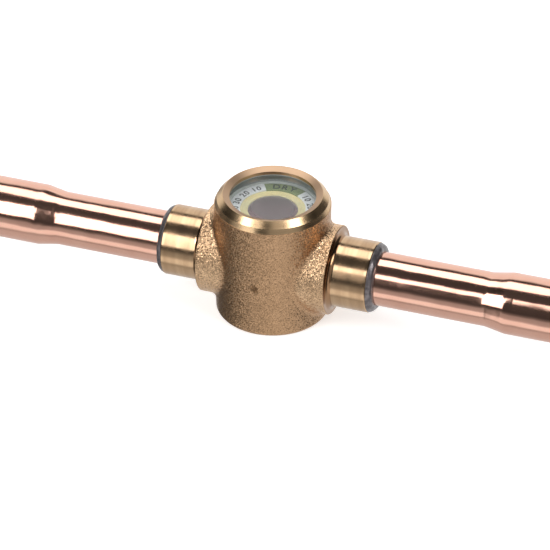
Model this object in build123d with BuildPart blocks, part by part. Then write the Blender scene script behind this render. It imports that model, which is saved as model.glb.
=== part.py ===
from build123d import *
import os

os.makedirs("parts", exist_ok=True)

# Liquid-line sight glass with a moisture indicator, for solder joints.
# A forged brass body carries a copper stub tube on each side and a round
# window on top. Millimetres; the origin is the centre of the body's flat
# underside, the tubes lie along X and the window looks up +Z.

# ---- tubes -----------------------------------------------------------------
tube_radius = 6.35  # outside, half inch tube
tube_wall = 0.8
stub_length = 46.95  # from the collar's end to the mouth
swage_start = 27.55  # from the collar's end to where the tube widens
swage_length = 4.8
swage_blend = 5.0  # radius of the soft bends at both ends of the swage
socket_clearance = 0.05  # radial, around the tube that is soldered in
mouth_radius = 0.25  # rounding of the socket's mouth
tube_insertion = 9.0  # how far the tube sits inside the collar

# ---- brazed joints ---------------------------------------------------------
braze_gap = 0.15  # radial, between tube and collar
braze_reach = 1.4  # length of the fillet along the tube
braze_bulge = 0.35  # how far the fillet swells past a straight line
braze_edge = 0.1  # how far the fillet stays below the collar's surface

# ---- forged body -----------------------------------------------------------
collar_wall = 1.85
collar_length = 9.35
collar_chamfer = 0.2
root_radius = 1.25  # machined radius between shoulder and collar
boss_shoulder = 2.25  # width of the shoulder around the collar
boss_projection = 2.1  # how far each boss stands out of the barrel
boss_edge_radius = 0.3
boss_blend_radius = 1.6  # forged fillet between boss and barrel
base_below_boss = 2.6
base_edge_radius = 0.9
barrel_draft = 0.25  # how much smaller the barrel's radius is at the base
rim_wall = 2.15  # wall around the glass
band_step = 0.1  # the machined band is this much smaller than the forging
band_height = 1.2
band_taper = 0.5
rim_cone_height = 1.5
rim_cone_width = 1.38
rim_top_rounding = 0.2
mark_radius = 1.2  # forging mark on the front of the barrel
mark_depth = 0.25

# ---- window and indicator stack, from the glass down -------------------------
glass_radius = 11.35
glass_thickness = 5.1
glass_clearance = 0.1
glass_chamfer = 0.25
lip_overhang = 1.4
lip_thickness = 0.8
lip_slope = 0.7
cushion_thickness = 0.3
cushion_setback = 0.15  # the cushion ends this far behind the lip's edge
seal_thickness = 0.8
seal_width = 1.1
seal_clearance = 0.05
dial_clearance = 0.15
dial_thickness = 0.4
dial_width = 2.6
indicator_thickness = 0.4
indicator_width = 1.75  # the part of the indicator ring that shows
indicator_tuck = 1.0  # the part that is held under the dial
indicator_clearance = 0.1
holder_floor = 0.5
holder_skirt_wall = 0.45
holder_skirt_depth = 1.0
ledge_width = 2.15
spring_wire_radius = 0.3
spring_height = 3.6
spring_turns = 2.5
spring_inset = 0.6  # from the chamber's wall to the coil
chamber_below_bore = 0.65
ledge_above_bore = 0.85

# ---- sizes that follow -------------------------------------------------------
tube_bore = tube_radius - tube_wall
socket_bore = tube_radius + socket_clearance
socket_radius = socket_bore + tube_wall
collar_bore = tube_radius + braze_gap
collar_radius = collar_bore + collar_wall
boss_radius = collar_radius + boss_shoulder

pocket_radius = glass_radius + glass_clearance
barrel_radius = pocket_radius + rim_wall
boss_end = barrel_radius + boss_projection
collar_end = boss_end + collar_length
tube_stop = collar_end - tube_insertion
tube_end = collar_end + stub_length

dial_pocket_radius = pocket_radius - seal_width
dial_radius = dial_pocket_radius - dial_clearance
dial_inner_radius = dial_radius - dial_width
window_radius = dial_inner_radius - indicator_width
indicator_radius = dial_inner_radius + indicator_tuck
chamber_radius = dial_pocket_radius - ledge_width
spring_radius = chamber_radius + spring_inset + spring_wire_radius

axis_height = base_below_boss + boss_radius
chamber_floor = axis_height - tube_bore - chamber_below_bore
ledge_height = axis_height + tube_bore + ledge_above_bore
holder_height = ledge_height + spring_height
indicator_height = holder_height + holder_floor
dial_height = indicator_height + indicator_thickness
glass_height = dial_height + dial_thickness
seat_height = glass_height - seal_thickness
cushion_height = glass_height + glass_thickness
lip_height = cushion_height + cushion_thickness
overall_height = lip_height + lip_thickness + lip_slope
ridge_height = overall_height - rim_cone_height
band_base = ridge_height - band_height
band_radius = barrel_radius - band_step
ridge_radius = band_radius - band_taper
rim_radius = ridge_radius - rim_cone_width
lip_radius = pocket_radius - lip_overhang

nearness = 0.01  # how far an edge may be from where it is looked for
tube_axis = Axis((0, 0, axis_height), (1, 0, 0))
# Local x runs across the body, local y up, and the normal along the tubes.
cross_plane = Plane((0, 0, axis_height), x_dir=(0, 1, 0), z_dir=(1, 0, 0))


def finish(part, name):
    """Name a finished sub-part and write its STEP file."""
    part.label = name
    export_step(part, f"parts/{name}.step")


def on_axis(side, *points):
    """Points given as (distance from the middle, radius), put on one side of the tube axis."""
    return [(side * x, axis_height + radius) for x, radius in points]


def circles_at(part, radius, distance):
    """A part's circular edges of one radius, at one distance along the tubes, on both sides."""
    circles = part.edges().filter_by(GeomType.CIRCLE)
    circles = circles.filter_by(lambda edge: abs(edge.radius - radius) < nearness)
    return circles.filter_by(lambda edge: abs(abs(edge.arc_center.X) - distance) < nearness)


def flat_ring(outer, inner, height, thickness):
    """A flat washer around the window's axis."""
    with BuildPart() as ring:
        with BuildSketch(Plane.XY.offset(height)):
            Circle(outer)
            Circle(inner, mode=Mode.SUBTRACT)
        extrude(amount=thickness)
    return ring.part


# ---- body: one brass forging, machined on the rim, collars and bores ---------
with BuildPart() as body:
    # Forged barrel with draft, and the machined band and cone of its rim.
    with BuildSketch(Plane.XZ):
        with BuildLine():
            Polyline(
                (0, 0),
                (barrel_radius - barrel_draft, 0),
                (barrel_radius, band_base),
                (band_radius, band_base),
                (ridge_radius, ridge_height),
                (rim_radius, overall_height),
                (lip_radius, overall_height - lip_slope),
                (0, overall_height - lip_slope),
                close=True,
            )
        make_face()
    revolve(axis=Axis.Z)
    fillet(body.faces().sort_by(Axis.Z)[0].edges(), radius=base_edge_radius)
    crest = body.edges().filter_by(GeomType.CIRCLE).sort_by(Axis.Z)[-1]
    fillet(crest, radius=rim_top_rounding)

    # Forged bosses, blended into the barrel.
    with BuildSketch(cross_plane):
        Circle(boss_radius)
    extrude(amount=boss_end, both=True)
    blend_edges = body.edges().filter_by(lambda edge: edge.geom_type not in (GeomType.CIRCLE, GeomType.LINE))
    fillet(blend_edges, radius=boss_blend_radius)
    shoulder_faces = body.faces().filter_by(Axis.X)
    fillet(shoulder_faces.edges(), radius=boss_edge_radius)

    # Machined collars, with a radius at their root.
    for shoulder in (cross_plane.offset(boss_end), cross_plane.offset(-boss_end)):
        with BuildSketch(shoulder):
            Circle(collar_radius)
        extrude(amount=collar_length if shoulder.origin.X > 0 else -collar_length)
    fillet(circles_at(body, collar_radius, boss_end), radius=root_radius)
    chamfer(circles_at(body, collar_radius, collar_end), length=collar_chamfer)

    # Bores: the chamber and the stepped pocket for the window stack.
    with BuildSketch(Plane.XZ):
        with BuildLine():
            Polyline(
                (0, chamber_floor),
                (chamber_radius, chamber_floor),
                (chamber_radius, ledge_height),
                (dial_pocket_radius, ledge_height),
                (dial_pocket_radius, seat_height),
                (pocket_radius, seat_height),
                (pocket_radius, lip_height),
                (lip_radius, lip_height),
                (lip_radius, overall_height),
                (0, overall_height),
                close=True,
            )
        make_face()
    revolve(axis=Axis.Z, mode=Mode.SUBTRACT)
    # The flow bore runs right through, and each tube sits in a wider one up to its stop.
    with BuildSketch(cross_plane):
        Circle(tube_bore)
    extrude(amount=collar_end, both=True, mode=Mode.SUBTRACT)
    for side in (1, -1):
        with BuildSketch(cross_plane.offset(side * tube_stop)):
            Circle(collar_bore)
        extrude(amount=side * tube_insertion, mode=Mode.SUBTRACT)

    # A round forging mark on the front.
    mark_sphere = (mark_radius**2 + mark_depth**2) / (2 * mark_depth)
    with Locations((0, mark_depth - barrel_radius - mark_sphere, axis_height)):
        Sphere(mark_sphere, mode=Mode.SUBTRACT)
finish(body.part, "body")


# ---- window: cushion under the rolled lip, glass, and the seal below it ------
seal_radius = pocket_radius - seal_clearance
cushion_bore = lip_radius + cushion_setback
finish(flat_ring(seal_radius, cushion_bore, cushion_height, cushion_thickness), "lip_cushion")

with BuildPart() as glass:
    with BuildSketch(Plane.XY.offset(glass_height)):
        Circle(glass_radius)
    extrude(amount=glass_thickness)
    chamfer(glass.edges().filter_by(GeomType.CIRCLE), length=glass_chamfer)
finish(glass.part, "glass")

finish(flat_ring(seal_radius, dial_pocket_radius, seat_height, seal_thickness), "glass_seal")


# ---- indicator: printed dial, moisture-sensitive ring, holder and spring -----
finish(flat_ring(dial_radius, dial_inner_radius, dial_height, dial_thickness), "dial_ring")

finish(flat_ring(indicator_radius, window_radius, indicator_height, indicator_thickness), "indicator_ring")

with BuildPart() as indicator_holder:
    # Floor with a window, a raised seat for the dial and a skirt around the spring.
    with BuildSketch(Plane.XZ):
        with BuildLine():
            Polyline(
                (window_radius, holder_height),
                (dial_radius - holder_skirt_wall, holder_height),
                (dial_radius - holder_skirt_wall, holder_height - holder_skirt_depth),
                (dial_radius, holder_height - holder_skirt_depth),
                (dial_radius, dial_height),
                (indicator_radius + indicator_clearance, dial_height),
                (indicator_radius + indicator_clearance, indicator_height),
                (window_radius, indicator_height),
                close=True,
            )
        make_face()
    revolve(axis=Axis.Z)
finish(indicator_holder.part, "indicator_holder")

with BuildPart() as holder_spring:
    # The coil reaches past both seats and is ground flat at each end.
    grind = spring_wire_radius / 2
    coil_height = spring_height - 2 * (spring_wire_radius - grind)
    with BuildLine(Plane.XY.offset(ledge_height + spring_wire_radius - grind)):
        coil = Helix(pitch=coil_height / spring_turns, height=coil_height, radius=spring_radius)
    with BuildSketch(Plane(coil @ 0, z_dir=coil % 0)):
        Circle(spring_wire_radius)
    sweep(path=coil)
    with BuildSketch(Plane.XY.offset(ledge_height)):
        Circle(dial_pocket_radius)
    extrude(amount=spring_height, mode=Mode.INTERSECT)
finish(holder_spring.part, "holder_spring")


# ---- copper stub tubes and their brazed joints -------------------------------
def copper_stub(side):
    """A tube from its stop in the body to a socket swaged for the next tube."""
    swage_x = collar_end + swage_start
    socket_x = swage_x + swage_length
    plain_outside = [(tube_stop, tube_radius), (swage_x, tube_radius)]
    socket_outside = [(socket_x, socket_radius), (tube_end, socket_radius)]
    socket_inside = [(tube_end, socket_bore), (socket_x, socket_bore)]
    plain_inside = [(swage_x, tube_bore), (tube_stop, tube_bore)]
    outline = on_axis(side, *plain_outside, *socket_outside, *socket_inside, *plain_inside)
    with BuildPart() as stub:
        with BuildSketch(Plane.XZ):
            with BuildLine():
                Polyline(*outline, close=True)
            profile = make_face()
            swage_ends = profile.vertices().filter_by(lambda point: swage_x - nearness < abs(point.X))
            bends = swage_ends.filter_by(lambda point: abs(point.X) < socket_x + nearness)
            fillet(bends, radius=swage_blend)
        revolve(axis=tube_axis)
        mouth = stub.faces().filter_by(Axis.X).sort_by(lambda face: abs(face.center().X))[-1]
        fillet(mouth.edges().sort_by(SortBy.RADIUS)[-1], radius=mouth_radius)
    return stub.part


def brazed_joint(side):
    """Filler metal: a thin film inside the collar and a fillet at its end."""
    fillet_top = collar_radius - braze_edge
    fillet_start = (collar_end, fillet_top)
    fillet_end = (collar_end + braze_reach, tube_radius)
    middle_x = (fillet_start[0] + fillet_end[0]) / 2 + braze_bulge
    middle_radius = (fillet_start[1] + fillet_end[1]) / 2 + braze_bulge
    start, middle, end = on_axis(side, fillet_start, (middle_x, middle_radius), fillet_end)
    film_end = [(tube_stop, tube_radius), (tube_stop, collar_bore)]
    film = [fillet_end, *film_end, (collar_end, collar_bore), fillet_start]
    with BuildPart() as joint:
        with BuildSketch(Plane.XZ):
            with BuildLine():
                ThreePointArc(start, middle, end)
                Polyline(*on_axis(side, *film))
            make_face()
        revolve(axis=tube_axis)
    return joint.part


for side, side_name in ((-1, "left"), (1, "right")):
    finish(copper_stub(side), f"{side_name}_copper_stub")
    finish(brazed_joint(side), f"{side_name}_brazed_joint")
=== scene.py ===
import bmesh
import bpy
import math
from mathutils import Matrix, Vector, noise


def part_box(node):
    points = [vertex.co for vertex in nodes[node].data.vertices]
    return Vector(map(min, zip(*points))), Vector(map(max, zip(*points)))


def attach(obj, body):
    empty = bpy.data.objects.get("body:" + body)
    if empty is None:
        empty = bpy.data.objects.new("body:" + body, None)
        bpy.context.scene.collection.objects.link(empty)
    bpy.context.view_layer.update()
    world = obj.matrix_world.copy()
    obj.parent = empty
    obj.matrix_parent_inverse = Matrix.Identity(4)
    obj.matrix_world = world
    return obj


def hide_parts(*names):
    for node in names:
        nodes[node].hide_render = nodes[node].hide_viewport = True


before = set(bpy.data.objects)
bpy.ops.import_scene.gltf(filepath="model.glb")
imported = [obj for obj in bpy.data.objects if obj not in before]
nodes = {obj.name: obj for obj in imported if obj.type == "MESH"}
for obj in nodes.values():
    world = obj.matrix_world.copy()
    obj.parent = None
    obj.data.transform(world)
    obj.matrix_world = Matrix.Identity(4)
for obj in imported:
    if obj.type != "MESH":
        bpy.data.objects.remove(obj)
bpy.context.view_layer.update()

mm = 0.001
scene = bpy.context.scene
scene.view_settings.view_transform = "Standard"


# ---- the view --------------------------------------------------------------------
# A long lens stands at the front and a little to the right, and looks down on
# the window. The tubes run out of the view on both sides.
view_azimuth = math.radians(18.67)
view_elevation = math.radians(34.65)
view_distance = 885 * mm
lens_length = 248.0
nearest_seen = 10 * mm
aim_right = 0.5 * mm
aim_down = 4.0 * mm

tube_low, tube_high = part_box("right_copper_stub")
axis_height = (tube_low.z + tube_high.z) / 2

towards_camera = Vector((
    math.sin(view_azimuth) * math.cos(view_elevation),
    -math.cos(view_azimuth) * math.cos(view_elevation),
    math.sin(view_elevation),
))
view_right = Vector((math.cos(view_azimuth), math.sin(view_azimuth), 0))
view_up = towards_camera.cross(view_right)
camera_data = bpy.data.cameras.new("camera")
camera_data.lens = lens_length
camera_data.clip_start = nearest_seen
camera = bpy.data.objects.new("camera", camera_data)
camera_turn = Matrix((view_right, view_up, towards_camera)).transposed().to_4x4()
camera_place = Vector((0, 0, axis_height)) + towards_camera * view_distance
camera_place += view_right * aim_right - view_up * aim_down
camera.matrix_world = Matrix.Translation(camera_place) @ camera_turn
scene.collection.objects.link(camera)
scene.camera = camera


# ---- table and studio light --------------------------------------------------------
# The part lies on a white table in front of a white backdrop. The room in front of
# the table is dark, and soft panels stand in it and hang over the table.
def node_tree(owner):
    """An owner's node tree, emptied."""
    owner.use_nodes = True
    tree = owner.node_tree
    tree.nodes.clear()
    return tree


def add_node(tree, kind, inputs=None, **settings):
    """A node with its settings and inputs; an input that is a socket is linked."""
    node = tree.nodes.new(kind)
    for setting, value in settings.items():
        setattr(node, setting, value)
    for key, value in (inputs or {}).items():
        if isinstance(value, bpy.types.NodeSocket):
            tree.links.new(value, node.inputs[key])
        else:
            node.inputs[key].default_value = value
    return node


def calculate(tree, operation, *values):
    """The result of a Math node on numbers or sockets."""
    return add_node(tree, "ShaderNodeMath", dict(enumerate(values)), operation=operation).outputs[0]


def product(tree, first, *others):
    """Several values multiplied together."""
    for other in others:
        first = calculate(tree, "MULTIPLY", first, other)
    return first


def ramp(tree, value, start, end, low=0.0, high=1.0):
    """A value that goes from low to high as another goes from start to end."""
    limits = {"Value": value, "From Min": start, "From Max": end, "To Min": low, "To Max": high}
    return add_node(tree, "ShaderNodeMapRange", limits).outputs[0]


def new_material(name):
    """A new material and its emptied node tree."""
    material = bpy.data.materials.new(name)
    return material, node_tree(material)


def add_surface(tree, look):
    """A material's shader, with its look by socket name, joined to the output."""
    shader = add_node(tree, "ShaderNodeBsdfPrincipled", look)
    add_node(tree, "ShaderNodeOutputMaterial", {"Surface": shader.outputs[0]})


def soft_panel(name, place, facing, width, height, brightness):
    """A soft light; brightness is what a mirror would show of it."""
    data = bpy.data.lights.new(name, "AREA")
    data.shape = "RECTANGLE"
    data.size = width
    data.size_y = height
    data.energy = brightness * math.pi * width * height
    panel = bpy.data.objects.new(name, data)
    panel.matrix_world = Matrix.LocRotScale(Vector(place), Vector(facing).to_track_quat("-Z", "Y"), None)
    scene.collection.objects.link(panel)


# How bright the room is by angle in degrees: 0 is level in front, 90 overhead and
# 180 level behind.
room_bands = (
    (-180, 0.95),
    (-150, 0.90),
    (-120, 0.62),
    (-62, 0.55),
    (-54, 0.30),
    (-48, 1.0),
    (-32, 1.0),
    (-26, 0.45),
    (-11, 0.36),
    (-5, 0.14),
    (2, 0.05),
    (124, 0.05),
    (133, 0.05),
    (138, 0.95),
    (180, 0.95),
)
dim_left = 0.18
dim_right = 0.06
right_edge_low = 0.80
right_edge_high = 0.36
upper_fill = 0.55
upper_fill_lowest = 0.3
table_fill = 0.75
side_fill = 0.8

world = bpy.data.worlds.new("studio")
scene.world = world
sky = node_tree(world)
direction = add_node(sky, "ShaderNodeTexCoord").outputs["Generated"]
to_right, to_back, to_top = add_node(sky, "ShaderNodeSeparateXYZ", {0: direction}).outputs
angle = calculate(sky, "ARCTAN2", to_top, product(sky, to_back, -1.0))
turn = ramp(sky, angle, -math.pi, math.pi)
bands = add_node(sky, "ShaderNodeValToRGB", {0: turn})
stops = bands.color_ramp.elements
for stop in list(stops)[1:]:
    stops.remove(stop)
for band_angle, band_tone in room_bands:
    position = (band_angle + 180) / 360
    stop = stops.new(position) if position else stops[0]
    stop.color = (band_tone, band_tone, band_tone, 1)

# Past its left and right edges the room is dim, apart from the backdrop on the left.
left_share = ramp(sky, to_right, -0.60, -0.45, dim_left, 1.0)
backdrop = product(sky, ramp(sky, to_back, 0.1, 0.4), ramp(sky, to_top, -0.25, -0.05))
left_share = calculate(sky, "MAXIMUM", left_share, backdrop)
right_edge = ramp(sky, to_top, -0.2, 0.1, right_edge_low, right_edge_high)
past_right = calculate(sky, "SUBTRACT", to_right, right_edge)
right_share = ramp(sky, past_right, 0.06, -0.08, dim_right, 1.0)
room = product(sky, bands.outputs[0], left_share, right_share)

# Dimmer light fills the room above on the right, the table on the right, and both
# sides just under level.
fill_right = ramp(sky, to_right, 0.09, 0.22, 0.0, upper_fill)
fill_ahead = ramp(sky, to_back, -0.15, -0.40)
fill_above = ramp(sky, to_top, -0.1, 0.65, upper_fill_lowest, 1.0)
upper_light = product(sky, fill_right, fill_ahead, fill_above)
table_right = ramp(sky, to_right, -0.1, 0.15, 0.0, table_fill)
table_light = product(sky, table_right, ramp(sky, to_top, -0.1, -0.25), right_share)
sideways = calculate(sky, "ABSOLUTE", to_right)
near_sides = ramp(sky, sideways, 0.55, 0.70, 0.0, side_fill)
at_sides = calculate(sky, "MINIMUM", near_sides, ramp(sky, sideways, 0.92, 0.80))
below_level = ramp(sky, to_top, 0.12, -0.02)
above_table = ramp(sky, to_top, -0.42, -0.28)
side_light = product(sky, at_sides, below_level, above_table, ramp(sky, to_back, 0.1, -0.1))
for light in (table_light, upper_light, side_light):
    room = calculate(sky, "MAXIMUM", room, light)
glow = add_node(sky, "ShaderNodeBackground", {"Color": (1, 1, 1, 1), "Strength": room})
add_node(sky, "ShaderNodeOutputWorld", {"Surface": glow.outputs[0]})

soft_panel("front_panel", (-0.384, -0.60, 0.410), (0, 1, 0), 0.42, 0.58, 2.5)
soft_panel("upper_panel", (-0.145, -0.60, 0.585), (0, 1, 0), 0.10, 0.32, 2.5)
soft_panel("left_panel", (-0.46, -0.50, 0.55), (0.46, 0.50, -0.54), 0.24, 0.26, 6.0)
soft_panel("side_panel", (0.62, -0.20, 0.62), (-0.62, 0.20, -0.60), 0.30, 0.45, 5.0)
soft_panel("top_panel", (-0.20, 0.22, 0.80), (0, -0.22, -0.79), 0.85, 0.45, 2.2)

table_half = 1.5
table_white = (0.9, 0.9, 0.9, 1)
table_glow = 0.6
table_mesh = bpy.data.meshes.new("table")
table_shape = bmesh.new()
bmesh.ops.create_grid(table_shape, x_segments=1, y_segments=1, size=table_half)
table_shape.to_mesh(table_mesh)
table_shape.free()
table = bpy.data.objects.new("table", table_mesh)
table.visible_glossy = False
table.visible_shadow = False
scene.collection.objects.link(table)
table_finish, tree = new_material("table_white")
add_surface(tree, {
    "Base Color": table_white,
    "Roughness": 0.9,
    "Emission Color": (1, 1, 1, 1),
    "Emission Strength": table_glow,
})
table_mesh.materials.append(table_finish)


# ---- forged body -------------------------------------------------------------------
# One hot brass forging, blasted clean, so that the barrel and bosses have a fine
# grained skin. The rim, shoulders, collars and bores are turned afterwards.
def vector_sum(tree, operation, *values):
    """The result of a Vector Math node on vectors or sockets."""
    node = add_node(tree, "ShaderNodeVectorMath", dict(enumerate(values)), operation=operation)
    return node.outputs["Value" if operation == "LENGTH" else "Vector"]


def scaled(tree, vector, scale):
    """A vector made longer or shorter."""
    inputs = {0: vector, "Scale": scale}
    return add_node(tree, "ShaderNodeVectorMath", inputs, operation="SCALE").outputs[0]


def mix_colours(tree, share, first, second):
    """The first colour where share is 0 and the second where it is 1."""
    node = add_node(tree, "ShaderNodeMix", {0: share, 6: first, 7: second}, data_type="RGBA")
    return node.outputs[2]


def mix_values(tree, share, first, second):
    """The first value where share is 0 and the second where it is 1."""
    return add_node(tree, "ShaderNodeMix", {0: share, 2: first, 3: second}).outputs[0]


def place_in_mm(tree):
    """The place on the part in millimetres."""
    return scaled(tree, add_node(tree, "ShaderNodeTexCoord").outputs["Object"], 1 / mm)


def numbers_of(tree, place):
    """The three numbers of a place."""
    return add_node(tree, "ShaderNodeSeparateXYZ", {0: place}).outputs


def place_of(tree, x, y, z=0.0):
    """A place from its three numbers."""
    return add_node(tree, "ShaderNodeCombineXYZ", {0: x, 1: y, 2: z}).outputs[0]


def away_from(tree, first, second):
    """The distance of two numbers from zero, taken together, as from an axis."""
    return vector_sum(tree, "LENGTH", place_of(tree, first, second))


def soft_noise(tree, place, scale, detail, roughness=0.5):
    """A soft noise between 0 and 1."""
    inputs = {"Vector": place, "Scale": scale, "Detail": detail, "Roughness": roughness}
    return add_node(tree, "ShaderNodeTexNoise", inputs).outputs[0]


def relief(tree, height, inputs=None):
    """The normal that a height in millimetres gives a surface."""
    bump = {"Height": height, "Distance": mm, "Strength": 1.0, **(inputs or {})}
    return add_node(tree, "ShaderNodeBump", bump).outputs[0]


def start_group(name, inputs, outputs, vectors=()):
    """A node group with its sockets, and its input sockets and output node."""
    group = bpy.data.node_groups.new(name, "ShaderNodeTree")
    for label, kind in inputs.items():
        group.interface.new_socket(label, in_out="INPUT", socket_type="NodeSocket" + kind)
    for label in outputs:
        group.interface.new_socket(label, in_out="OUTPUT", socket_type="NodeSocketFloat")
    for label in vectors:
        group.interface.new_socket(label, in_out="OUTPUT", socket_type="NodeSocketVector")
    inside = add_node(group, "NodeGroupInput").outputs
    return group, inside, add_node(group, "NodeGroupOutput")


def use_group(tree, group, inputs):
    """The outputs of a group placed in a material's tree."""
    return add_node(tree, "ShaderNodeGroup", inputs, node_tree=group).outputs


# Lines that a turning, drawing or grinding tool leaves. Waves is the length of a
# wave in each direction, short across the lines and long along them.
wide_line_scale = 0.17
tool_lines, inside, outside = start_group(
    "tool_lines", {"Place": "Vector", "Waves": "Vector"}, ("Height", "Tone")
)
line_place = vector_sum(tool_lines, "DIVIDE", inside["Place"], inside["Waves"])
fine_lines = soft_noise(tool_lines, line_place, 1.0, 3.0)
wide_lines = soft_noise(tool_lines, line_place, wide_line_scale, 2.0)
tool_lines.links.new(fine_lines, outside.inputs["Height"])
tool_lines.links.new(ramp(tool_lines, wide_lines, 0.3, 0.7), outside.inputs["Tone"])

# Rounded grains with pits between them, as on a blasted or cast skin or a paper.
cell_share = -0.45
grain, inside, outside = start_group("grain", {"Place": "Vector", "Size": "Float"}, ("Height", "Pits"))
grain_scale = calculate(grain, "DIVIDE", 1.0, inside["Size"])
grain_bumps = soft_noise(grain, inside["Place"], grain_scale, 1.0, 0.6)
grain_cells = add_node(
    grain, "ShaderNodeTexVoronoi",
    {"Vector": inside["Place"], "Scale": grain_scale}, feature="F1",
)
cell_height = product(grain, grain_cells.outputs["Distance"], cell_share)
grain_height = calculate(grain, "ADD", grain_bumps, cell_height)
grain.links.new(grain_height, outside.inputs["Height"])
grain.links.new(ramp(grain, grain_height, 0.30, 0.10), outside.inputs["Pits"])

# Small flat facets that each face a little differently, as blasting leaves a skin.
facets, inside, outside = start_group(
    "facets", {"Place": "Vector", "Size": "Float", "Tilt": "Float"}, ("Tone",), ("Normal",)
)
facet_scale = calculate(facets, "DIVIDE", 1.0, inside["Size"])
facet_inputs = {"Vector": inside["Place"], "Scale": facet_scale}
facet_colour = add_node(facets, "ShaderNodeTexVoronoi", facet_inputs).outputs["Color"]
facet_lean = vector_sum(facets, "SUBTRACT", facet_colour, (0.5, 0.5, 0.5))
facet_lean = scaled(facets, facet_lean, inside["Tilt"])
smooth_normal = add_node(facets, "ShaderNodeNewGeometry").outputs["Normal"]
facet_normal = vector_sum(facets, "NORMALIZE", vector_sum(facets, "ADD", smooth_normal, facet_lean))
facets.links.new(facet_normal, outside.inputs["Normal"])
facets.links.new(numbers_of(facets, facet_colour)["X"], outside.inputs["Tone"])

# Broad uneven patches of tarnish, handling marks or heat colour.
patches, inside, outside = start_group("patches", {"Place": "Vector", "Size": "Float"}, ("Mask",))
patch_scale = calculate(patches, "DIVIDE", 1.0, inside["Size"])
patch_noise = soft_noise(patches, inside["Place"], patch_scale, 4.0, 0.55)
patches.links.new(ramp(patches, patch_noise, 0.38, 0.62), outside.inputs["Mask"])

rim_height = 2.66
collar_length = 9.35
shoulder_width = 1.15
barrel_radius = 13.6
bore_limit = 6.9
well_limit = 11.6
well_floor = 6.8
lip_outside = 11.62
lip_underside = 1.2
mark_radius = 1.2
mark_scale = 1.6
mark_front = -12.0
mark_shade_share = 0.9
grain_size = 0.17
grain_depth = 0.012
facet_size = 0.16
facet_tilt = 0.60
stain_size = 5.0
stain_share = 0.35
dark_facet_share = 0.4
window_waves = (0.16, 9.0, 9.0)
tube_waves = (0.20, 9.0, 9.0)
lines_depth = 0.0015
skin_colour = (0.64, 0.395, 0.225, 1)
boss_painted_light_colour = (0.90, 0.60, 0.36, 1)
skin_pit_colour = (0.25, 0.14, 0.07, 1)
skin_brown = (0.58, 0.35, 0.19, 1)
lip_colour = (0.54, 0.36, 0.23, 1)
rim_colour = (0.74, 0.50, 0.28, 1)
rim_worn_colour = (0.80, 0.56, 0.33, 1)
collar_colour = (0.72, 0.49, 0.295, 1)
collar_worn_colour = (0.60, 0.39, 0.23, 1)
shoulder_painted_shade_colour = (0.40, 0.23, 0.125, 1)
bore_colour = (0.72, 0.50, 0.55, 1)
skin_brightest = 0.20
skin_dullest = 0.36
turned_brightest = 0.15
turned_dullest = 0.22
rim_dullness = 0.06
lip_dullness = 0.12
hidden_metallic = 0.4

body_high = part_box("body")[1]
band_base = body_high.z / mm - rim_height
boss_end = body_high.x / mm - collar_length

brass, tree = new_material("forged_brass")
place = place_in_mm(tree)
x, y, z = numbers_of(tree, place)
along = calculate(tree, "ABSOLUTE", x)
above_axis = calculate(tree, "SUBTRACT", z, axis_height / mm)
from_tube = away_from(tree, y, above_axis)
from_window = away_from(tree, x, y)

# Masks for what the tools have turned: the rim with its lip, the well under it, the
# shoulders and collars, and the bores. Hidden is what lies inside the bores and deep
# in the well, and on_boss is everything outside the barrel.
on_rim = ramp(tree, z, band_base - 0.03, band_base + 0.03)
near_window = ramp(tree, from_window, well_limit + 0.1, well_limit)
in_well = product(tree, near_window, ramp(tree, z, well_floor, well_floor + 0.1))
window_turned = calculate(tree, "MAXIMUM", on_rim, in_well)
on_lip = product(tree, on_rim, ramp(tree, from_window, lip_outside + 0.1, lip_outside - 0.1))
below_lip = ramp(tree, z, band_base + lip_underside, band_base + lip_underside - 0.1)
on_collar = ramp(tree, along, boss_end - 0.12, boss_end - 0.04)
near_boss = ramp(tree, along, boss_end + shoulder_width, boss_end + shoulder_width - 0.2)
on_shoulder = product(tree, on_collar, near_boss)
in_bore = ramp(tree, from_tube, bore_limit + 0.05, bore_limit)
tube_turned = calculate(tree, "MAXIMUM", on_collar, in_bore)
turned = calculate(tree, "MAXIMUM", window_turned, tube_turned)
hidden = calculate(tree, "MAXIMUM", in_bore, product(tree, in_well, below_lip))
on_boss = ramp(tree, from_window, barrel_radius + 0.1, barrel_radius + 0.8)

# The small mark that the forging die leaves on the front of the barrel, painted dark as shade in its
# shallow dimple.
mark_edge = ramp(tree, soft_noise(tree, place, mark_scale, 2.0), 0.3, 0.7, -0.5, 0.3)
from_mark = calculate(tree, "ADD", away_from(tree, x, above_axis), mark_edge)
in_mark = ramp(tree, from_mark, 0.75 * mark_radius, 0.55 * mark_radius)
in_mark = product(tree, in_mark, ramp(tree, y, mark_front, mark_front - 1.0))

window_place = place_of(tree, calculate(tree, "SUBTRACT", from_window, z), x, y)
window_lines = use_group(tree, tool_lines, {"Place": window_place, "Waves": window_waves})
tube_place = place_of(tree, calculate(tree, "SUBTRACT", along, from_tube), y, z)
tube_lines = use_group(tree, tool_lines, {"Place": tube_place, "Waves": tube_waves})
skin = use_group(tree, grain, {"Place": place, "Size": grain_size})
skin_tilt = product(tree, calculate(tree, "SUBTRACT", 1.0, turned), facet_tilt)
blasted = use_group(tree, facets, {"Place": place, "Size": facet_size, "Tilt": skin_tilt})
stains = use_group(tree, patches, {"Place": place, "Size": stain_size})

# Painted light: the skin on the bosses is painted lighter than on the barrel, standing in for the light
# that the bosses catch.
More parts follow.
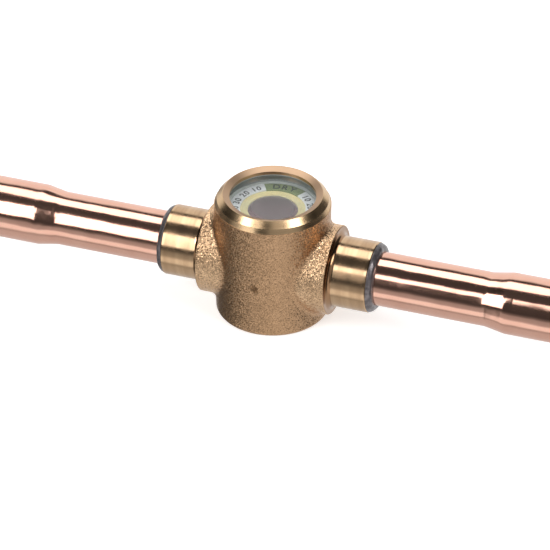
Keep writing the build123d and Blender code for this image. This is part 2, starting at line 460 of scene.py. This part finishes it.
skin_look = mix_colours(tree, on_boss, skin_colour, boss_painted_light_colour)
skin_look = mix_colours(tree, product(tree, stains["Mask"], stain_share), skin_look, skin_brown)
dark_facets = ramp(tree, blasted["Tone"], 0.35, 0.05, 0.0, dark_facet_share)
skin_look = mix_colours(tree, dark_facets, skin_look, skin_pit_colour)
skin_look = mix_colours(tree, product(tree, in_mark, mark_shade_share), skin_look, skin_pit_colour)
rim_look = mix_colours(tree, window_lines["Tone"], rim_colour, rim_worn_colour)
rim_look = mix_colours(tree, on_lip, rim_look, lip_colour)
collar_look = mix_colours(tree, tube_lines["Tone"], collar_colour, collar_worn_colour)
# Painted shade: the shoulders at the boss ends are painted a darker brown than the collars, standing in
# for the shade and dark reflections on them.
collar_look = mix_colours(tree, on_shoulder, collar_look, shoulder_painted_shade_colour)
turned_look = mix_colours(tree, window_turned, collar_look, rim_look)
turned_look = mix_colours(tree, hidden, turned_look, bore_colour)

skin_roughness = ramp(tree, blasted["Tone"], 0, 1, skin_dullest, skin_brightest)
turned_tone = mix_values(tree, window_turned, tube_lines["Tone"], window_lines["Tone"])
turned_roughness = ramp(tree, turned_tone, 0, 1, turned_brightest, turned_dullest)
for area, dullness in ((window_turned, rim_dullness), (on_lip, lip_dullness)):
    turned_roughness = calculate(tree, "ADD", turned_roughness, product(tree, area, dullness))

skin_height = product(tree, skin["Height"], grain_depth)
turned_height = mix_values(tree, window_turned, tube_lines["Height"], window_lines["Height"])
turned_height = product(tree, turned_height, lines_depth)
body_height = mix_values(tree, turned, skin_height, turned_height)
add_surface(tree, {
    "Base Color": mix_colours(tree, turned, skin_look, turned_look),
    "Metallic": ramp(tree, hidden, 0, 1, 1.0, hidden_metallic),
    "Roughness": mix_values(tree, turned, skin_roughness, turned_roughness),
    "Normal": relief(tree, body_height, {"Normal": blasted["Normal"]}),
})
nodes["body"].material_slots[0].material = brass


# ---- copper stubs ------------------------------------------------------------------
# Drawn copper tube, bright from the die, with faint lines along its length. The
# outer end of each is swaged open to take the next tube of the line.
copper_colour = (0.95, 0.56, 0.43, 1)
copper_dull_colour = (0.86, 0.46, 0.34, 1)
draw_waves = (30.0, 0.5, 0.5)
dull_patch_size = 7.0
dull_patch_share = 0.35
line_depth = 0.0022
tube_wave_scale = 0.16
tube_wave_depth = 0.12
crease_scale = 0.36
crease_depth = 0.12
swage_start = 51.5
swage_end = 59.5

# Each swage has soft creases, which fade out along the tube on both sides of it.
copper, tree = new_material("drawn_copper")
place = place_in_mm(tree)
draw_lines = use_group(tree, tool_lines, {"Place": place, "Waves": draw_waves})
stains = use_group(tree, patches, {"Place": place, "Size": dull_patch_size})
along = calculate(tree, "ABSOLUTE", numbers_of(tree, place)["X"])
past_start = ramp(tree, along, swage_start, swage_start + 2.0)
on_swage = calculate(tree, "MINIMUM", past_start, ramp(tree, along, swage_end, swage_end - 2.5))
line_height = product(tree, draw_lines["Height"], line_depth)
wave_height = product(tree, soft_noise(tree, place, tube_wave_scale, 1.0), tube_wave_depth)
crease_height = product(tree, soft_noise(tree, place, crease_scale, 0.5), crease_depth, on_swage)
copper_height = calculate(tree, "ADD", calculate(tree, "ADD", line_height, wave_height), crease_height)
dull_share = product(tree, stains["Mask"], dull_patch_share)
add_surface(tree, {
    "Base Color": mix_colours(tree, dull_share, copper_colour, copper_dull_colour),
    "Metallic": 1.0,
    "Roughness": ramp(tree, draw_lines["Tone"], 0, 1, 0.09, 0.17),
    "Normal": relief(tree, copper_height),
})
for side_name in ("left", "right"):
    nodes[side_name + "_copper_stub"].material_slots[0].material = copper


# ---- brazed joints -----------------------------------------------------------------
# Filler metal has run into the gap between tube and collar and set as a swollen,
# slightly wavy ring at the collar's mouth, dark and glassy with flux.
def new_piece(name, shape, materials, replaced=()):
    """A piece from a bmesh, with its materials and slot, riding on the part."""
    mesh = bpy.data.meshes.new(name)
    shape.to_mesh(mesh)
    shape.free()
    piece = bpy.data.objects.new(name, mesh)
    scene.collection.objects.link(piece)
    for material in materials:
        mesh.materials.append(material)
    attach(piece, "root")
    if replaced:
        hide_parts(*replaced)


merge_distance = 0.0001 * mm


def spin_profile(points, centre, axis, steps):
    """A closed outline, given as points, turned once round an axis."""
    shape = bmesh.new()
    corners = [shape.verts.new(point) for point in points]
    edges = [shape.edges.new(pair) for pair in zip(corners, corners[1:] + corners[:1])]
    bmesh.ops.spin(
        shape, geom=corners + edges, cent=centre, axis=axis, angle=math.tau, steps=steps, use_merge=True
    )
    bmesh.ops.remove_doubles(shape, verts=shape.verts, dist=merge_distance)
    bmesh.ops.recalc_face_normals(shape, faces=shape.faces)
    for face in shape.faces:
        face.smooth = True
    return shape


def arc_points(start, end, swell, count):
    """Points from start to end along an arc that swells outwards, without the end."""
    chord = Vector(end) - Vector(start)
    outwards = Vector((-chord.y, chord.x)).normalized()
    if outwards.x < 0:
        outwards = -outwards
    steps = [index / count for index in range(count)]
    return [Vector(start) + chord * step + outwards * swell * math.sin(math.pi * step) for step in steps]


joint_reach = 1.4 * mm
joint_swell = 0.5 * mm
joint_edge = 0.12 * mm
joint_waviness = 0.08 * mm
joint_overlap = 0.02 * mm
joint_steps = 144
joint_arc_steps = 14
collar_radius = 8.35 * mm
tube_radius = 6.35 * mm
film_outside = 6.48 * mm
lump_scale = 420
lump_shift = 3.0
fine_lump_scale = 1100
lump_share = 2.2
fine_lump_share = 0.6
filler_colour = (0.19, 0.168, 0.172, 1)
filler_flux_colour = (0.10, 0.088, 0.092, 1)
flux_size = 1.1
ripple_size = 0.7
ripple_depth = 0.015

filler, tree = new_material("filler_metal")
place = place_in_mm(tree)
flux = use_group(tree, patches, {"Place": place, "Size": flux_size})
ripples = use_group(tree, grain, {"Place": place, "Size": ripple_size})
add_surface(tree, {
    "Base Color": mix_colours(tree, flux["Mask"], filler_colour, filler_flux_colour),
    "Metallic": 0.5,
    "Roughness": ramp(tree, flux["Mask"], 0, 1, 0.18, 0.28),
    "Normal": relief(tree, product(tree, ripples["Height"], ripple_depth)),
})

for side, side_name in ((-1, "left"), (1, "right")):
    joint_low, joint_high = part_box(side_name + "_brazed_joint")
    film_start = min(abs(joint_low.x), abs(joint_high.x))
    mouth = body_high.x - joint_overlap
    ring_top = (mouth, collar_radius - joint_edge)
    ring_foot = (mouth + joint_reach, tube_radius)
    outline = arc_points(ring_top, ring_foot, joint_swell, joint_arc_steps)
    outline += [Vector(ring_foot), Vector((film_start, tube_radius))]
    outline += [Vector((film_start, film_outside)), Vector((mouth, film_outside))]
    points = [(side * point.x, 0, axis_height + point.y) for point in outline]
    ring = spin_profile(points, (0, 0, axis_height), (1, 0, 0), joint_steps)
    for corner in ring.verts:
        past_mouth = min(max((abs(corner.co.x) - mouth) / joint_reach, 0), 1)
        lump = noise.noise(corner.co * lump_scale + Vector((side * lump_shift, 0, 0)))
        fine_lump = noise.noise(corner.co * fine_lump_scale)
        waviness = lump_share * lump + fine_lump_share * fine_lump
        corner.co.x += side * joint_waviness * past_mouth * waviness
    new_piece(side_name + "_filler_ring", ring, [filler], [side_name + "_brazed_joint"])


# ---- spring and indicator holder -----------------------------------------------------
# A coil of spring steel in the chamber presses a pressed steel holder up against
# the glass. Both are plated, and little of them shows behind the window.
steel_colour = (0.60, 0.52, 0.54, 1)
steel_dull_colour = (0.52, 0.45, 0.47, 1)
steel_waves = (0.8, 0.8, 0.15)
steel_line_depth = 0.01

steel, tree = new_material("plated_steel")
steel_lines = use_group(tree, tool_lines, {"Place": place_in_mm(tree), "Waves": steel_waves})
add_surface(tree, {
    "Base Color": mix_colours(tree, steel_lines["Tone"], steel_colour, steel_dull_colour),
    "Metallic": 0.5,
    "Roughness": ramp(tree, steel_lines["Tone"], 0, 1, 0.5, 0.65),
    "Normal": relief(tree, product(tree, steel_lines["Height"], steel_line_depth)),
})
nodes["holder_spring"].material_slots[0].material = steel
nodes["indicator_holder"].material_slots[0].material = steel


# ---- indicator ring ------------------------------------------------------------------
# A ring of porous paper soaked in a salt that changes colour with moisture. It lies
# on the holder, with its outer edge under the dial.
round_steps = 128
sharp_angle = 1.0


def flat_washer(outer, inner, bottom, top, edge):
    """A washer round the window's axis with its edges rounded."""
    corners = [(outer, 0, bottom), (outer, 0, top), (inner, 0, top), (inner, 0, bottom)]
    washer = spin_profile(corners, (0, 0, 0), (0, 0, 1), round_steps)
    rounded = [edge_line for edge_line in washer.edges if edge_line.calc_face_angle(0) > sharp_angle]
    bmesh.ops.bevel(
        washer, geom=rounded, offset=edge, affect="EDGES", segments=3, profile=0.5, material=-1
    )
    return washer


window_radius = 5.85 * mm
paper_edge = 0.06 * mm
paper_clearance = 0.02 * mm
paper_colour = (0.80, 0.68, 0.34, 1)
paper_soaked_colour = (0.74, 0.66, 0.36, 1)
paper_pit_colour = (0.62, 0.52, 0.27, 1)
fibre_size = 0.3
fibre_depth = 0.03
soaking_size = 2.5
fibre_pit_share = 0.5

paper, tree = new_material("indicator_paper")
place = place_in_mm(tree)
fibres = use_group(tree, grain, {"Place": place, "Size": fibre_size})
soaking = use_group(tree, patches, {"Place": place, "Size": soaking_size})
paper_look = mix_colours(tree, soaking["Mask"], paper_colour, paper_soaked_colour)
pit_share = product(tree, fibres["Pits"], fibre_pit_share)
add_surface(tree, {
    "Base Color": mix_colours(tree, pit_share, paper_look, paper_pit_colour),
    "Roughness": 0.85,
    "Normal": relief(tree, product(tree, fibres["Height"], fibre_depth)),
})

indicator_low, indicator_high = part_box("indicator_ring")
paper_top = indicator_high.z - paper_clearance
paper_ring = flat_washer(indicator_high.x, window_radius, indicator_low.z, paper_top, paper_edge)
new_piece("moisture_paper", paper_ring, [paper], ["indicator_ring"])


# ---- dial ------------------------------------------------------------------------
# A printed plastic ring round the indicator: a green sector for dry, a yellow one
# for wet, and white between them.
dial_low, dial_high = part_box("dial_ring")
dial_inside = 7.6 * mm
dial_edge = 0.05 * mm
dial_clearance = 0.03 * mm
dial_surface = dial_high.z - dial_clearance
sector_half_width = 30
sector_blur = 0.4
white_colours = ((0.86, 0.87, 0.90, 1), (0.76, 0.77, 0.80, 1))
green_colours = ((0.23, 0.29, 0.13, 1), (0.18, 0.235, 0.10, 1))
yellow_colours = ((0.80, 0.62, 0.12, 1), (0.70, 0.52, 0.10, 1))
mottle_size = 0.35
mottle_share = 0.3
mottle_depth = 0.006


def in_sector(tree, around, middle):
    """1 in the sector round the dial whose middle is at an angle, and 0 outside it."""
    off_middle = calculate(tree, "ABSOLUTE", calculate(tree, "SUBTRACT", around, middle))
    outside_edge = math.radians(sector_half_width + sector_blur)
    return ramp(tree, off_middle, outside_edge, math.radians(sector_half_width))


print_finish, tree = new_material("dial_print")
place = place_in_mm(tree)
x, y = numbers_of(tree, place)[:2]
around = calculate(tree, "ARCTAN2", y, x)
mottle = use_group(tree, grain, {"Place": place, "Size": mottle_size})
dial_look = mix_colours(tree, product(tree, mottle["Pits"], mottle_share), *white_colours)
for middle, ink_colours in ((math.pi / 2, green_colours), (-math.pi / 2, yellow_colours)):
    sector_look = mix_colours(tree, mottle["Pits"], *ink_colours)
    dial_look = mix_colours(tree, in_sector(tree, around, middle), dial_look, sector_look)
add_surface(tree, {
    "Base Color": dial_look,
    "Roughness": 0.5,
    "Normal": relief(tree, product(tree, mottle["Height"], mottle_depth)),
})
dial_ring = flat_washer(dial_high.x, dial_inside, dial_low.z, dial_surface, dial_edge)
new_piece("printed_dial", dial_ring, [print_finish], ["dial_ring"])


# ---- dial legend -------------------------------------------------------------------
# Black ink on the dial: the words for the two states and plain numbers between
# them, all with their tops outwards.
ink_thickness = 0.012 * mm
letter_height = 1.85 * mm
number_height = 1.6 * mm
letter_size_ratio = 1.36
letter_weight = 0.03
legend_radius = 8.0 * mm
letter_step = 13
number_step = 22.5
digit_step = 8.5
numbers = ("10", "20", "30", "40", "50")
ink_colour = (0.012, 0.014, 0.014, 1)
ink_worn_colour = (0.03, 0.035, 0.035, 1)
wear_size = 0.25

ink, tree = new_material("legend_ink")
wear = use_group(tree, grain, {"Place": place_in_mm(tree), "Size": wear_size})
ink_look = mix_colours(tree, wear["Pits"], ink_colour, ink_worn_colour)
add_surface(tree, {"Base Color": ink_look, "Roughness": 0.5})


def add_character(legend, character, height, angle):
    """One character printed on the dial at an angle, with its top outwards."""
    letter = bpy.data.curves.new("letter", "FONT")
    letter.body = character
    letter.size = height * letter_size_ratio
    letter.align_x = "CENTER"
    letter.extrude = ink_thickness / 2
    letter.offset = height * letter_weight
    letter_object = bpy.data.objects.new("letter", letter)
    letter_mesh = bpy.data.meshes.new_from_object(letter_object)
    turn_out = Matrix.Rotation(math.radians(angle - 90), 4, "Z")
    move_out = Matrix.Translation((0, legend_radius, dial_surface + ink_thickness / 2))
    letter_mesh.transform(turn_out @ move_out)
    legend.from_mesh(letter_mesh)
    bpy.data.objects.remove(letter_object)
    bpy.data.meshes.remove(letter_mesh)


legend = bmesh.new()
for middle, word in ((90, "DRY"), (270, "WET")):
    for index, character in enumerate(word):
        add_character(legend, character, letter_height, middle + (1 - index) * letter_step)
for first_angle, direction_sign in ((135, 1), (45, -1)):
    for index, number in enumerate(numbers):
        middle = first_angle + direction_sign * index * number_step
        for place_in_number, character in enumerate(number):
            add_character(legend, character, number_height, middle + (0.5 - place_in_number) * digit_step)
new_piece("dial_legend", legend, [ink])


# ---- seal and cushion ----------------------------------------------------------------
# Two soft plastic rings hold the glass clear of the metal: a seal on the seat under
# it and a thin cushion between it and the rolled lip.
plastic_colour = (0.52, 0.55, 0.53, 1)
plastic_bloom_colour = (0.62, 0.64, 0.62, 1)
bloom_size = 1.5
plastic_grain_size = 0.2
plastic_grain_depth = 0.01

soft_plastic, tree = new_material("soft_plastic")
place = place_in_mm(tree)
bloom = use_group(tree, patches, {"Place": place, "Size": bloom_size})
plastic_grain = use_group(tree, grain, {"Place": place, "Size": plastic_grain_size})
add_surface(tree, {
    "Base Color": mix_colours(tree, bloom["Mask"], plastic_colour, plastic_bloom_colour),
    "Roughness": 0.45,
    "Normal": relief(tree, product(tree, plastic_grain["Height"], plastic_grain_depth)),
})
nodes["glass_seal"].material_slots[0].material = soft_plastic
nodes["lip_cushion"].material_slots[0].material = soft_plastic


# ---- glass -----------------------------------------------------------------------
# A thick disc of toughened glass, polished above, misted below over the hole, and
# ground on its edge and bevels. Rays from the lamps pass it straight, so that the
# dial is lit.
glass_low, glass_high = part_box("glass")
glass_bevel = 0.3 * mm
glass_segments = 192
air_gap = 0.05 * mm
glass_tint = (0.97, 0.985, 0.975, 1)
lamp_tint = (0.97, 0.99, 0.98, 1)
glass_index = 1.5
smear_size = 4.0
# The mist under the glass starts just inside the hole of the paper ring and is full a
# little further in.
mist_start = window_radius / mm - 0.4
mist_full = window_radius / mm - 1.1
ground_colour = (0.16, 0.18, 0.165, 1)
ground_light_colour = (0.23, 0.255, 0.24, 1)
ground_waves = (3.0, 3.0, 0.25)
ground_depth = 0.01


def clear_glass(name, clearest, dullest, over_hole):
    """Glass that lets the lamps through, with smears and mist that dull it."""
    glass, tree = new_material(name)
    place = place_in_mm(tree)
    x, y = numbers_of(tree, place)[:2]
    smears = use_group(tree, patches, {"Place": place, "Size": smear_size})
    smeared = ramp(tree, smears["Mask"], 0, 1, clearest, dullest)
    mist = ramp(tree, away_from(tree, x, y), mist_start, mist_full, 0.0, over_hole)
    glass_look = {
        "Base Color": glass_tint,
        "IOR": glass_index,
        "Transmission Weight": 1.0,
        "Roughness": calculate(tree, "ADD", smeared, mist),
    }
    glass_shader = add_node(tree, "ShaderNodeBsdfPrincipled", glass_look)
    lamp_path = add_node(tree, "ShaderNodeBsdfTransparent", {"Color": lamp_tint})
    shadow_ray = add_node(tree, "ShaderNodeLightPath").outputs["Is Shadow Ray"]
    through = add_node(
        tree, "ShaderNodeMixShader", {0: shadow_ray, 1: glass_shader.outputs[0], 2: lamp_path.outputs[0]}
    )
    add_node(tree, "ShaderNodeOutputMaterial", {"Surface": through.outputs[0]})
    return glass


polished = clear_glass("polished_glass", 0.0, 0.03, 0.0)
misted = clear_glass("misted_glass", 0.03, 0.06, 0.38)

ground, tree = new_material("ground_glass")
grind_lines = use_group(tree, tool_lines, {"Place": place_in_mm(tree), "Waves": ground_waves})
add_surface(tree, {
    "Base Color": mix_colours(tree, grind_lines["Tone"], ground_colour, ground_light_colour),
    "Roughness": 0.55,
    "Normal": relief(tree, product(tree, grind_lines["Height"], ground_depth)),
})

disc = bmesh.new()
disc_bottom = glass_low.z + air_gap
disc_depth = glass_high.z - disc_bottom
bmesh.ops.create_cone(
    disc, cap_ends=True, segments=glass_segments,
    radius1=glass_high.x, radius2=glass_high.x, depth=disc_depth,
    matrix=Matrix.Translation((0, 0, disc_bottom + disc_depth / 2)),
)
rim_edges = [edge for edge in disc.edges if edge.calc_face_angle(0) > sharp_angle]
bmesh.ops.bevel(
    disc, geom=rim_edges, offset=glass_bevel, affect="EDGES", segments=1, profile=0.5, material=-1
)
for face in disc.faces:
    face.material_index = {1: 0, -1: 1}.get(round(face.normal.z, 2), 2)
    face.smooth = face.material_index == 2
new_piece("window_glass", disc, [polished, misted, ground], ["glass"])
